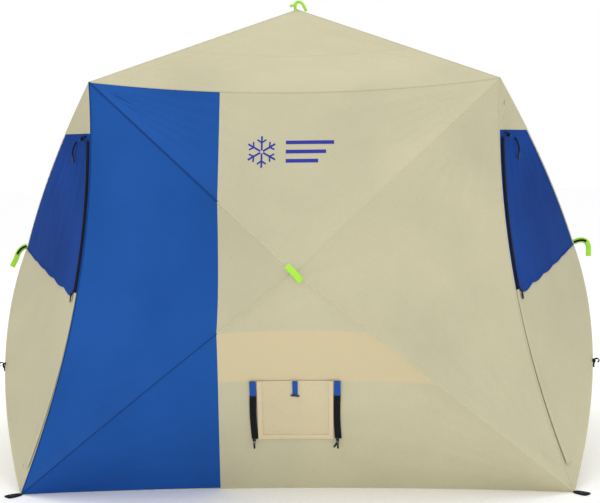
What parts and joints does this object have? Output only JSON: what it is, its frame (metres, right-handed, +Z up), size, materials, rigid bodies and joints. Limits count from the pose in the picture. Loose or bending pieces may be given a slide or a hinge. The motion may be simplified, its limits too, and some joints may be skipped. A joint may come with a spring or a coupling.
{
  "type": "ice fishing shelter",
  "caption": "Pop-up ice fishing shelter: square cloth cabin held out by sprung hubs and flexible rods, with a zipped vent and side doors.",
  "frame": {"origin": "on the ice under the roof hub, at the middle of the base", "axes": "+Z up, -Y out of the front wall with the vent, +X to the right as seen from the front"},
  "size_m": [2.6142, 2.6142, 1.972],
  "materials": {
    "beige_cloth": "matt coated polyester, plain weave",
    "black_plastic": "moulded",
    "black_webbing": "woven webbing",
    "black_zip": "woven zip tape with coil teeth",
    "blue_cloth": "matt coated polyester, plain weave",
    "blue_webbing": "woven webbing",
    "clear_film": "clear vinyl film",
    "glass_fibre": "pultruded rod, smooth",
    "hub_plastic": "moulded, glass filled",
    "lime_webbing": "woven webbing, bright",
    "steel_pin": "turned",
    "zip_metal": "black enamelled zinc"
  },
  "bodies": {
    "canopy": {"anchor_tabs": "black_webbing", "back_wall_fabric": "beige_cloth", "front_wall_beige": "beige_cloth", "front_wall_blue": "blue_cloth", "guy_loops": "black_webbing", "left_door_zip": "black_zip", "left_wall_fabric": "beige_cloth", "right_door_zip": "black_zip", "right_wall_fabric": "beige_cloth", "roof_fabric": "beige_cloth", "vent_webbing_tabs": "blue_webbing", "vent_window": "clear_film", "vent_zips": "black_zip"},
    "front_hub_body": {"front_hub": "hub_plastic", "front_hub_pins": "steel_pin", "front_pull_strap": "lime_webbing"},
    "front_rod_upper_left_body": {"front_rod_upper_left": "glass_fibre"},
    "front_rod_upper_right_body": {"front_rod_upper_right": "glass_fibre"},
    "front_rod_lower_left_body": {"front_rod_lower_left": "glass_fibre"},
    "front_rod_lower_right_body": {"front_rod_lower_right": "glass_fibre"},
    "right_hub_body": {"right_hub": "hub_plastic", "right_hub_pins": "steel_pin", "right_pull_strap": "lime_webbing"},
    "right_rod_upper_left_body": {"right_rod_upper_left": "glass_fibre"},
    "right_rod_upper_right_body": {"right_rod_upper_right": "glass_fibre"},
    "right_rod_lower_left_body": {"right_rod_lower_left": "glass_fibre"},
    "right_rod_lower_right_body": {"right_rod_lower_right": "glass_fibre"},
    "back_hub_body": {"back_hub": "hub_plastic", "back_hub_pins": "steel_pin", "back_pull_strap": "lime_webbing"},
    "back_rod_upper_left_body": {"back_rod_upper_left": "glass_fibre"},
    "back_rod_upper_right_body": {"back_rod_upper_right": "glass_fibre"},
    "back_rod_lower_left_body": {"back_rod_lower_left": "glass_fibre"},
    "back_rod_lower_right_body": {"back_rod_lower_right": "glass_fibre"},
    "left_hub_body": {"left_hub": "hub_plastic", "left_hub_pins": "steel_pin", "left_pull_strap": "lime_webbing"},
    "left_rod_upper_left_body": {"left_rod_upper_left": "glass_fibre"},
    "left_rod_upper_right_body": {"left_rod_upper_right": "glass_fibre"},
    "left_rod_lower_left_body": {"left_rod_lower_left": "glass_fibre"},
    "left_rod_lower_right_body": {"left_rod_lower_right": "glass_fibre"},
    "roof_hub_body": {"roof_hub": "hub_plastic", "roof_hub_pins": "steel_pin", "roof_pull_strap": "lime_webbing"},
    "roof_rod_front_left_body": {"roof_rod_front_left": "glass_fibre"},
    "roof_rod_front_right_body": {"roof_rod_front_right": "glass_fibre"},
    "roof_rod_back_left_body": {"roof_rod_back_left": "glass_fibre"},
    "roof_rod_back_right_body": {"roof_rod_back_right": "glass_fibre"},
    "vent_flap_body": {"vent_flap": "beige_cloth", "vent_toggle": "black_plastic", "vent_toggle_strap": "blue_webbing"},
    "vent_slider_left_body": {"vent_slider_left": "zip_metal"},
    "vent_slider_right_body": {"vent_slider_right": "zip_metal"},
    "left_door": {"left_door_upper": "blue_cloth", "left_door_lower": "beige_cloth"},
    "left_door_slider_body": {"left_door_slider": "zip_metal"},
    "right_door": {"right_door_upper": "blue_cloth", "right_door_lower": "beige_cloth"},
    "right_door_slider_body": {"right_door_slider": "zip_metal"}
  },
  "joints": [
    {"name": "front_hub_pop", "type": "slide", "parent": "canopy", "child": "front_hub_body", "axis": [0, -0.9875, 0.1579], "range_m": [-0.6007, 0]},
    {"name": "front_rod_upper_left_pivot", "type": "hinge", "parent": "front_hub_body", "child": "front_rod_upper_left_body", "pos_m": [-0.02377, -1.16689, 0.85629], "axis": [-0.6937, -0.1137, -0.7112], "range_deg": [-33.87, 0]},
    {"name": "front_rod_upper_right_pivot", "type": "hinge", "parent": "front_hub_body", "child": "front_rod_upper_right_body", "pos_m": [0.02377, -1.16689, 0.85629], "axis": [-0.6937, 0.1137, 0.7112], "range_deg": [-33.87, 0]},
    {"name": "front_rod_lower_left_pivot", "type": "hinge", "parent": "front_hub_body", "child": "front_rod_lower_left_body", "pos_m": [-0.02601, -1.17371, 0.81363], "axis": [0.6154, -0.1245, -0.7783], "range_deg": [-28.03, 0]},
    {"name": "front_rod_lower_right_pivot", "type": "hinge", "parent": "front_hub_body", "child": "front_rod_lower_right_body", "pos_m": [0.02601, -1.17371, 0.81363], "axis": [0.6154, 0.1245, 0.7783], "range_deg": [-28.03, 0]},
    {"name": "right_hub_pop", "type": "slide", "parent": "canopy", "child": "right_hub_body", "axis": [0.9875, 0, 0.1579], "range_m": [-0.6007, 0]},
    {"name": "right_rod_upper_left_pivot", "type": "hinge", "parent": "right_hub_body", "child": "right_rod_upper_left_body", "pos_m": [1.16689, -0.02377, 0.85629], "axis": [0.1137, -0.6937, -0.7112], "range_deg": [-33.87, 0]},
    {"name": "right_rod_upper_right_pivot", "type": "hinge", "parent": "right_hub_body", "child": "right_rod_upper_right_body", "pos_m": [1.16689, 0.02377, 0.85629], "axis": [-0.1137, -0.6937, 0.7112], "range_deg": [-33.87, 0]},
    {"name": "right_rod_lower_left_pivot", "type": "hinge", "parent": "right_hub_body", "child": "right_rod_lower_left_body", "pos_m": [1.17371, -0.02601, 0.81363], "axis": [0.1245, 0.6154, -0.7783], "range_deg": [-28.03, 0]},
    {"name": "right_rod_lower_right_pivot", "type": "hinge", "parent": "right_hub_body", "child": "right_rod_lower_right_body", "pos_m": [1.17371, 0.02601, 0.81363], "axis": [-0.1245, 0.6154, 0.7783], "range_deg": [-28.03, 0]},
    {"name": "back_hub_pop", "type": "slide", "parent": "canopy", "child": "back_hub_body", "axis": [0, 0.9875, 0.1579], "range_m": [-0.6007, 0]},
    {"name": "back_rod_upper_left_pivot", "type": "hinge", "parent": "back_hub_body", "child": "back_rod_upper_left_body", "pos_m": [0.02377, 1.16689, 0.85629], "axis": [0.6937, 0.1137, -0.7112], "range_deg": [-33.87, 0]},
    {"name": "back_rod_upper_right_pivot", "type": "hinge", "parent": "back_hub_body", "child": "back_rod_upper_right_body", "pos_m": [-0.02377, 1.16689, 0.85629], "axis": [0.6937, -0.1137, 0.7112], "range_deg": [-33.87, 0]},
    {"name": "back_rod_lower_left_pivot", "type": "hinge", "parent": "back_hub_body", "child": "back_rod_lower_left_body", "pos_m": [0.02601, 1.17371, 0.81363], "axis": [-0.6154, 0.1245, -0.7783], "range_deg": [-28.03, 0]},
    {"name": "back_rod_lower_right_pivot", "type": "hinge", "parent": "back_hub_body", "child": "back_rod_lower_right_body", "pos_m": [-0.02601, 1.17371, 0.81363], "axis": [-0.6154, -0.1245, 0.7783], "range_deg": [-28.03, 0]},
    {"name": "left_hub_pop", "type": "slide", "parent": "canopy", "child": "left_hub_body", "axis": [-0.9875, 0, 0.1579], "range_m": [-0.6007, 0]},
    {"name": "left_rod_upper_left_pivot", "type": "hinge", "parent": "left_hub_body", "child": "left_rod_upper_left_body", "pos_m": [-1.16689, 0.02377, 0.85629], "axis": [-0.1137, 0.6937, -0.7112], "range_deg": [-33.87, 0]},
    {"name": "left_rod_upper_right_pivot", "type": "hinge", "parent": "left_hub_body", "child": "left_rod_upper_right_body", "pos_m": [-1.16689, -0.02377, 0.85629], "axis": [0.1137, 0.6937, 0.7112], "range_deg": [-33.87, 0]},
    {"name": "left_rod_lower_left_pivot", "type": "hinge", "parent": "left_hub_body", "child": "left_rod_lower_left_body", "pos_m": [-1.17371, 0.02601, 0.81363], "axis": [-0.1245, -0.6154, -0.7783], "range_deg": [-28.03, 0]},
    {"name": "left_rod_lower_right_pivot", "type": "hinge", "parent": "left_hub_body", "child": "left_rod_lower_right_body", "pos_m": [-1.17371, -0.02601, 0.81363], "axis": [0.1245, -0.6154, 0.7783], "range_deg": [-28.03, 0]},
    {"name": "roof_hub_pop", "type": "slide", "parent": "canopy", "child": "roof_hub_body", "axis": [0, 0, 1], "range_m": [-0.654, 0]},
    {"name": "roof_rod_front_left_pivot", "type": "hinge", "parent": "roof_hub_body", "child": "roof_rod_front_left_body", "pos_m": [-0.02334, -0.02334, 1.834], "axis": [0.7071, -0.7071, 0], "range_deg": [-35.99, 0]},
    {"name": "roof_rod_front_right_pivot", "type": "hinge", "parent": "roof_hub_body", "child": "roof_rod_front_right_body", "pos_m": [0.02334, -0.02334, 1.834], "axis": [0.7071, 0.7071, 0], "range_deg": [-35.99, 0]},
    {"name": "roof_rod_back_left_pivot", "type": "hinge", "parent": "roof_hub_body", "child": "roof_rod_back_left_body", "pos_m": [-0.02334, 0.02334, 1.834], "axis": [-0.7071, -0.7071, 0], "range_deg": [-35.99, 0]},
    {"name": "roof_rod_back_right_pivot", "type": "hinge", "parent": "roof_hub_body", "child": "roof_rod_back_right_body", "pos_m": [0.02334, 0.02334, 1.834], "axis": [-0.7071, 0.7071, 0], "range_deg": [-35.99, 0]},
    {"name": "vent_flap_lift", "type": "hinge", "parent": "canopy", "child": "vent_flap_body", "pos_m": [0, -1.11578, 0.438], "axis": [-1, 0, 0], "range_deg": [0, 90]},
    {"name": "vent_slider_left_run", "type": "slide", "parent": "canopy", "child": "vent_slider_left_body", "axis": [0, -0.3403, 0.9403], "range_m": [0, 0.165]},
    {"name": "vent_slider_right_run", "type": "slide", "parent": "canopy", "child": "vent_slider_right_body", "axis": [0, -0.3403, 0.9403], "range_m": [0, 0.165]},
    {"name": "left_door_swing", "type": "hinge", "parent": "canopy", "child": "left_door", "pos_m": [-1.09155, -0.44407, 0.8058], "axis": [-0.2202, -0.1575, -0.9627], "range_deg": [0, 110]},
    {"name": "left_door_slider_run", "type": "slide", "parent": "canopy", "child": "left_door_slider_body", "axis": [0.1236, 0.1237, 0.9846], "range_m": [0, 0.33]},
    {"name": "right_door_swing", "type": "hinge", "parent": "canopy", "child": "right_door", "pos_m": [1.09155, -0.44407, 0.8058], "axis": [-0.2202, 0.1575, 0.9627], "range_deg": [0, 110]},
    {"name": "right_door_slider_run", "type": "slide", "parent": "canopy", "child": "right_door_slider_body", "axis": [-0.1236, 0.1237, 0.9846], "range_m": [0, 0.33]}
  ],
  "couplings": [
    {"joint": "front_rod_upper_left_pivot", "follows": "front_hub_pop", "rad_per_m": 0.98259},
    {"joint": "front_rod_upper_right_pivot", "follows": "front_hub_pop", "rad_per_m": 0.98259},
    {"joint": "front_rod_lower_left_pivot", "follows": "front_hub_pop", "rad_per_m": 0.81299},
    {"joint": "front_rod_lower_right_pivot", "follows": "front_hub_pop", "rad_per_m": 0.81299},
    {"joint": "right_rod_upper_left_pivot", "follows": "right_hub_pop", "rad_per_m": 0.98259},
    {"joint": "right_rod_upper_right_pivot", "follows": "right_hub_pop", "rad_per_m": 0.98259},
    {"joint": "right_rod_lower_left_pivot", "follows": "right_hub_pop", "rad_per_m": 0.81299},
    {"joint": "right_rod_lower_right_pivot", "follows": "right_hub_pop", "rad_per_m": 0.81299},
    {"joint": "back_rod_upper_left_pivot", "follows": "back_hub_pop", "rad_per_m": 0.98259},
    {"joint": "back_rod_upper_right_pivot", "follows": "back_hub_pop", "rad_per_m": 0.98259},
    {"joint": "back_rod_lower_left_pivot", "follows": "back_hub_pop", "rad_per_m": 0.81299},
    {"joint": "back_rod_lower_right_pivot", "follows": "back_hub_pop", "rad_per_m": 0.81299},
    {"joint": "left_rod_upper_left_pivot", "follows": "left_hub_pop", "rad_per_m": 0.98259},
    {"joint": "left_rod_upper_right_pivot", "follows": "left_hub_pop", "rad_per_m": 0.98259},
    {"joint": "left_rod_lower_left_pivot", "follows": "left_hub_pop", "rad_per_m": 0.81299},
    {"joint": "left_rod_lower_right_pivot", "follows": "left_hub_pop", "rad_per_m": 0.81299},
    {"joint": "roof_rod_front_left_pivot", "follows": "roof_hub_pop", "rad_per_m": 0.95923},
    {"joint": "roof_rod_front_right_pivot", "follows": "roof_hub_pop", "rad_per_m": 0.95923},
    {"joint": "roof_rod_back_left_pivot", "follows": "roof_hub_pop", "rad_per_m": 0.95923},
    {"joint": "roof_rod_back_right_pivot", "follows": "roof_hub_pop", "rad_per_m": 0.95923}
  ]
}
